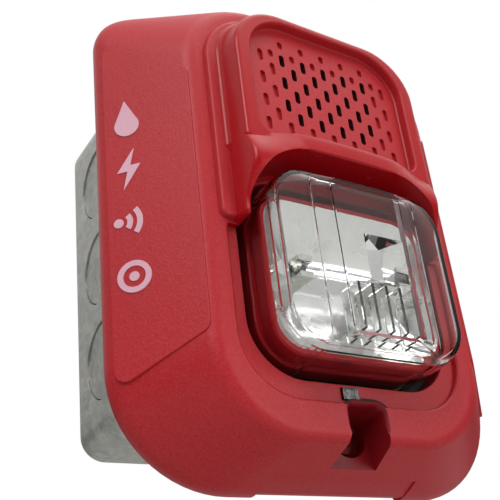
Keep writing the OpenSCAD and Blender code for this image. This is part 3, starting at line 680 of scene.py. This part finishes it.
def cutSlots(shell):
    group = slotGroup()
    panelDepth = housing["panel"][5]
    for name, values in {
        "openSlots": {"Outer": 0.0, "Reach": 0.008, "Place": place(0, 36.2, panelDepth - 4)},
        "blindSlots": {"Outer": 1.0, "Reach": 0.008, "Place": place(0, 36.2, panelDepth - 0.9)},
        "topSlots": {"Outer": 0.0, "Reach": 0.008, "Columns": 11, "Rows": 1, "Open Columns": 99.0,
                "Lowest Open": -1.0, "Lowest": -1.0, "Slot Length": 0.0027,
                "Place": place(0, 54.0, panelDepth - 0.9)},
    }.items():
        cutter = growMesh(name, group, values, housingMaterials)
        # open slots take the very dark red as painted shade inside them; blind slots keep the textured red
        for face in cutter.data.polygons:
            face.material_index = 3 if name == "openSlots" else 0
        combine(shell, cutter, "DIFFERENCE")


print("scene: housing")
shell = buildHousing()
cutSlots(shell)
smooth(shell, 34)
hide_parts("front_housing")
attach(shell, "device")


# ---- lens

lens = {
    "foot": (29.2, -45.4, 7.5, 13.0, 13.0, 12.2),
    "shoulder": (28.5, -44.7, 6.9, 12.2, 12.2, 33.2),
    "edge": (27.2, -43.6, 5.9, 10.5, 10.5, 35.4),
    "facetOut": (17.0, -42.2, 4.6, 4.0, 4.0, 37.0),
    "facetIn": (11.4, -41.2, 3.8, 2.5, 2.5, 38.3),
    "wall": 1.3,
    "flange": (32.2, -48.4, 10.5, 16.0, 16.0),
    "prism": (-25.0, -11.0, 37.3, 32.0),
    "facetLines": ((-17.0, 37.0), (-11.4, 38.3), (11.4, 38.3), (17.0, 37.0)),
}


def buildLens():
    mats = [clearLens]
    foot, shoulder, edge, facetOut, facetIn = (lens[key] for key in ("foot", "shoulder", "edge", "facetOut",
            "facetIn"))
    stages = [foot, (*foot[:5], 24.0)] + softCorner(shoulder, between(shoulder, (*edge[:5], 36.6), 0.55), edge,
            6) + [facetOut, facetIn, inset(facetIn, 1.2, 0.12)]
    outer = loft("lens", stages, mats, 0, 12, 2)
    flange = lens["flange"]
    combine(outer, loft("flange", [(*flange, 13.1), (*flange, 14.9)], mats, 0, 12), "UNION")
    wall = lens["wall"]
    cavity = [inset((*foot[:5], 8.0), wall), inset((*foot[:5], 24.0), wall)] + [inset(s, wall,
            -wall * 0.4) for s in softCorner(shoulder, between(shoulder, (*edge[:5], 36.6), 0.55), edge, 6)]
    cavity += [inset(facetOut, wall, -wall), inset(facetIn, wall, -wall)]
    combine(outer, loft("cavity", cavity, mats, 0, 12, 2), "DIFFERENCE")
    for x, depth in lens["facetLines"]:
        ends = [[(x - 0.28, z, depth + 0.3), (x, z, depth - 0.4), (x + 0.28, z, depth + 0.3)] for z in (-42.6, 5.0)]
        combine(outer, stack("facetLine", ends, mats), "DIFFERENCE")
    low, high, root, tip = lens["prism"]
    ends = [[(-3.0, z, root), (4.0, z + lean, tip), (11.0, z, root)] for z, lean in ((low, 2.5), (high, -2.5))]
    combine(outer, stack("lensPrism", ends, mats), "UNION")
    combine(outer, growMesh("lensRibs", ribGroup(), {"Place": place(2.2, -32.0, 33.0)}, mats), "UNION")
    return outer


def ribGroup():
    # upright light-spreading ribs inside the lower front of the lens
    group, sheet, value = nodeGroup("lensRibs", {
        "Count": ("NodeSocketInt", 5), "Pitch": ("NodeSocketFloat", 0.0044), "Width": ("NodeSocketFloat", 0.0009),
        "Height": ("NodeSocketFloat", 0.013), "Reach": ("NodeSocketFloat", 0.0068),
        "Place": ("NodeSocketVector", (0.0, 0.0, 0.0))})
    start = sheet.node("ShaderNodeCombineXYZ", {}, {"X": (value["Count"] - 1) * value["Pitch"] * -0.5})
    step = sheet.node("ShaderNodeCombineXYZ", {}, {"X": value["Pitch"]})
    row = sheet.node("GeometryNodeMeshLine", {"mode": "OFFSET"},
            {"Count": value["Count"], "Start Location": start, "Offset": step})
    size = sheet.node("ShaderNodeCombineXYZ", {}, {"X": value["Width"], "Y": value["Reach"], "Z": value["Height"]})
    bar = sheet.node("GeometryNodeMeshCube", {}, {"Size": size})
    bars = sheet.node("GeometryNodeInstanceOnPoints", {}, {"Points": row, "Instance": bar})
    moved = sheet.node("GeometryNodeTransform", {}, {"Geometry": bars, "Translation": value["Place"]})
    closeGroup(sheet, moved, clearLens)
    return group


print("scene: lens")
lensBody = buildLens()
smooth(lensBody, 7)
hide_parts("lens")
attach(lensBody, "device")

# ---- reflector

reflector = {
    "base": (26.9, -43.1, 5.2, 11.0, 11.0, 15.3),
    "baseTop": 20.2,
    "outer": [(25.2, -41.4, 3.4, 8.0, 8.0, 19.0), (25.9, -42.1, 4.1, 8.4, 8.4, 25.4),
            (25.5, -41.7, 3.7, 8.0, 8.0, 26.0)],
    "bowl": [(15.5, -20.4, -13.6, 3.0, 3.0, 17.4), (17.4, -23.8, -12.0, 3.4, 3.4, 18.0),
            (19.6, -28.8, -9.0, 4.2, 4.2, 19.2),
             (21.6, -33.6, -5.2, 5.2, 5.2, 21.2), (23.4, -37.8, -1.0, 6.4, 6.4, 23.6),
             (24.9, -41.1, 3.1, 7.6, 7.6, 26.6)],
    "tubeCentre": -17.0,
    "tubeHalf": 15.0,
    "bezelShift": 1.9,
    "bezel": 3.6,
    "endHole": 2.3,
}


def buildReflector():
    mats = [mirror, baseRed, insideShadeRed]
    shelf = reflector["base"]
    top = (*shelf[:5], reflector["baseTop"])
    body = loft("reflectorBody", [shelf] + softCorner(inset(top, 0, -1.2), top, inset(top, 1.2), 3), mats, 1, 12)
    combine(body, loft("bowlWall", reflector["outer"], mats, 1, 12), "UNION")
    combine(body, loft("bowlCut", reflector["bowl"], mats, 0, 10), "DIFFERENCE")
    centre, half = reflector["tubeCentre"], reflector["tubeHalf"]
    for side in (-1, 1):
        # bezels round the tube ends and the holes behind them, the holes in the very dark red as painted shade
        x = side * (half + reflector["bezelShift"])
        combine(body, disc("bezel", x, centre, reflector["bezel"], 16.5, 22.6, mats, 0, 32), "UNION")
        combine(body, disc("endHole", x, centre, reflector["endHole"], 18.0, 30.0, mats, 2, 32), "DIFFERENCE")
    return body


print("scene: reflector")
bowl = buildReflector()
smooth(bowl, 30)
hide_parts("reflector")
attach(bowl, "device")

# ---- box on the wall

wiringBox = {
    "half": 50.8,
    "depth": boxFront,
    "corner": 7.0,
    "rear": 3.2,
    "sheet": 1.6,
    "knockout": 11.1,
    "pitch": 28.0,
    "count": 3,
    "rearKnockouts": ((0, 24), (0, -24), (24, 0)),
    "ear": 38.1,
    "earRadius": 10.5,
    "earHole": 2.0,
    "fixing": 35.0,
    "fixingHole": 2.6,
    "groundX": -24.0,
    "padHeight": 3.0,
    "padRadius": 8.0,
    "groundHole": 2.4,
}


def knockoutGroup():
    # a row of round bars, used to cut the knockouts through two opposite walls
    group, sheet, value = nodeGroup("knockoutRow", {
        "Count": ("NodeSocketInt", 3), "Pitch": ("NodeSocketFloat", 0.028),
        "Radius": ("NodeSocketFloat", 0.0111), "Length": ("NodeSocketFloat", 0.12),
        "Place": ("NodeSocketVector", (0.0, 0.0, 0.0)), "Turn": ("NodeSocketVector", (0.0, 0.0, 0.0))})
    start = sheet.node("ShaderNodeCombineXYZ", {}, {"X": (value["Count"] - 1) * value["Pitch"] * -0.5})
    step = sheet.node("ShaderNodeCombineXYZ", {}, {"X": value["Pitch"]})
    row = sheet.node("GeometryNodeMeshLine", {"mode": "OFFSET"},
            {"Count": value["Count"], "Start Location": start, "Offset": step})
    bar = sheet.node("GeometryNodeMeshCylinder", {},
            {"Vertices": 64, "Radius": value["Radius"], "Depth": value["Length"]})
    bars = sheet.node("GeometryNodeInstanceOnPoints", {}, {"Points": row, "Instance": bar})
    turned = sheet.node("GeometryNodeTransform", {},
            {"Geometry": bars, "Translation": value["Place"], "Rotation": value["Turn"]})
    closeGroup(sheet, turned, galvanised)
    return group


def buildBox():
    mats = [galvanised]
    half, depth, corner, rear, sheet = (wiringBox[key] for key in ("half", "depth", "corner", "rear", "sheet"))
    full = (half, -half, half, corner, corner, 0.0)
    back = -depth
    stages = softCorner(inset((*full[:5], back), rear), (*full[:5], back), (*full[:5], back + rear),
            6) + [(*full[:5], -0.35), inset((*full[:5], 0.0), 0.3)]
    made = loft("wiringBox", stages, mats, 0, 10)
    inner = inset(full, sheet)
    cavity = softCorner(inset((*inner[:5], back + sheet), rear - 1), (*inner[:5], back + sheet),
            (*inner[:5], back + sheet + rear - 1), 5) + [(*inner[:5], 5.0)]
    combine(made, loft("boxCavity", cavity, mats, 0, 10), "DIFFERENCE")
    ear, x, pad = wiringBox["ear"], wiringBox["groundX"], back + sheet + wiringBox["padHeight"]
    for side in (-1, 1):
        tab = disc("ear", side * (half - 8), side * (half - 8), wiringBox["earRadius"], -sheet, 0.0, mats)
        combine(tab, loft("earLimit", [(*inset(full, 0.8)[:5], -9.0), (*inset(full, 0.8)[:5], 9.0)], mats),
                "INTERSECT")
        combine(made, tab, "UNION")
        combine(made, disc("earHole", side * ear, side * ear, wiringBox["earHole"], -4.0, 1.0, mats, 0, 24),
                "DIFFERENCE")
    combine(made, disc("groundPad", x, 0, wiringBox["padRadius"], back + 0.4, pad, mats), "UNION")
    combine(made, disc("padHollow", x, 0, wiringBox["padRadius"] - sheet, back - 1, pad - sheet, mats), "DIFFERENCE")
    combine(made, disc("groundHole", x, 0, wiringBox["groundHole"], back - 1, pad + 1, mats, 0, 24), "DIFFERENCE")
    for px, pz in wiringBox["rearKnockouts"]:
        combine(made, disc("rearKnockout", px, pz, wiringBox["knockout"], back - 1, back + sheet + 1, mats, 0,
                64), "DIFFERENCE")
    for sx in (-1, 1):
        for sz in (-1, 1):
            combine(made, disc("fixing", sx * wiringBox["fixing"], sz * wiringBox["fixing"],
                    wiringBox["fixingHole"], back - 1, back + sheet + 1, mats, 0, 24), "DIFFERENCE")
    group = knockoutGroup()
    middle = (0.0, -boxFront * 0.0005, 0.0)
    for name, turn in (("sideKnockouts", (0.0, math.pi / 2, 0.0)), ("endKnockouts", (0.0, 0.0, 0.0))):
        row = growMesh(name, group, {"Count": wiringBox["count"], "Pitch": wiringBox["pitch"] * 0.001,
                "Radius": wiringBox["knockout"] * 0.001, "Place": middle, "Turn": turn}, mats)
        combine(made, row, "DIFFERENCE")
    return made


print("scene: box")
wallBox = buildBox()
smooth(wallBox, 32)
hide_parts("back_box")
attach(wallBox, "wall_box")

# ---- stage, light and camera

print("scene: stage")
floorMaterial, sheet, coords = newMaterial("paleFloor")
grain = noise(sheet, coords, 60, 4)
finishSurface(sheet, Base_Color=blendColours(sheet, grain, (0.50, 0.50, 0.49, 1), (0.46, 0.46, 0.45, 1)),
        Roughness=0.7 + grain * 0.1)
mesh = bmesh.new()
floorHeight, floorHalf = -0.165, 3
corners = [mesh.verts.new((x * floorHalf, y * floorHalf, floorHeight)) for x,
        y in ((-1, -1), (1, -1), (1, 1), (-1, 1))]
mesh.faces.new(corners)
floorData = bpy.data.meshes.new("floor")
mesh.to_mesh(floorData)
mesh.free()
floorData.materials.append(floorMaterial)
floor = bpy.data.objects.new("floor", floorData)
scene.collection.objects.link(floor)

world = bpy.data.worlds.new("studio")
scene.world = world
world.use_nodes = True
sheet = Sheet(world.node_tree)
direction = sheet.node("ShaderNodeTexCoord", out=0)
height = sheet.node("ShaderNodeSeparateXYZ", {}, {0: direction}, out=2)
sky = sheet.node("ShaderNodeValToRGB", {"stops": [(0.0, (0.02, 0.02, 0.02, 1)), (0.48, (0.05, 0.05, 0.05, 1)),
        (0.60, (0.24, 0.24, 0.23, 1)), (0.82, (2.1, 2.1, 2.1, 1))]}, {0: height * 0.5 + 0.5})
seen = sheet.node("ShaderNodeLightPath", out=0)
light = sheet.node("ShaderNodeBackground", {}, {"Color": sky, "Strength": 0.42})
plain = sheet.node("ShaderNodeBackground", {}, {"Color": (1, 1, 1, 1), "Strength": 1.0})
both = sheet.node("ShaderNodeMixShader", {}, {0: seen, 1: light, 2: plain})
sheet.node("ShaderNodeOutputWorld", {}, {"Surface": both})

lights = {
    "key": {"spot": (-0.62, -0.75, 0.72), "aim": (0, -0.05, 0.0), "size": 0.55, "power": 5.6},
    "ceiling": {"spot": (0.25, -0.35, 0.95), "aim": (0, -0.05, 0), "size": 0.9, "power": 3.4},
    "front": {"spot": (0.55, -1.1, 0.15), "aim": (0, -0.05, 0), "size": 0.5, "power": 3.4},
}
for name, info in lights.items():
    data = bpy.data.lights.new(name, "AREA")
    data.shape, data.size, data.energy = "SQUARE", info["size"], info["power"]
    lamp = bpy.data.objects.new(name, data)
    lamp.location = info["spot"]
    lamp.rotation_euler = (Vector(info["aim"]) - Vector(info["spot"])).to_track_quat("-Z", "Y").to_euler()
    scene.collection.objects.link(lamp)

viewpoint = {"spot": (-0.14093, -0.23234, -0.12889), "turn": (2.04603, 0.14894, -0.61184), "lens": 66.43,
        "shift": (-0.184, 0.055)}
cameraData = bpy.data.cameras.new("camera")
cameraData.lens, cameraData.sensor_width = viewpoint["lens"], 36.0
cameraData.shift_x, cameraData.shift_y = viewpoint["shift"]
cameraData.clip_start = 0.01
camera = bpy.data.objects.new("camera", cameraData)
camera.location = viewpoint["spot"]
camera.rotation_euler = viewpoint["turn"]
scene.collection.objects.link(camera)
scene.camera = camera
scene.view_settings.view_transform = "Standard"
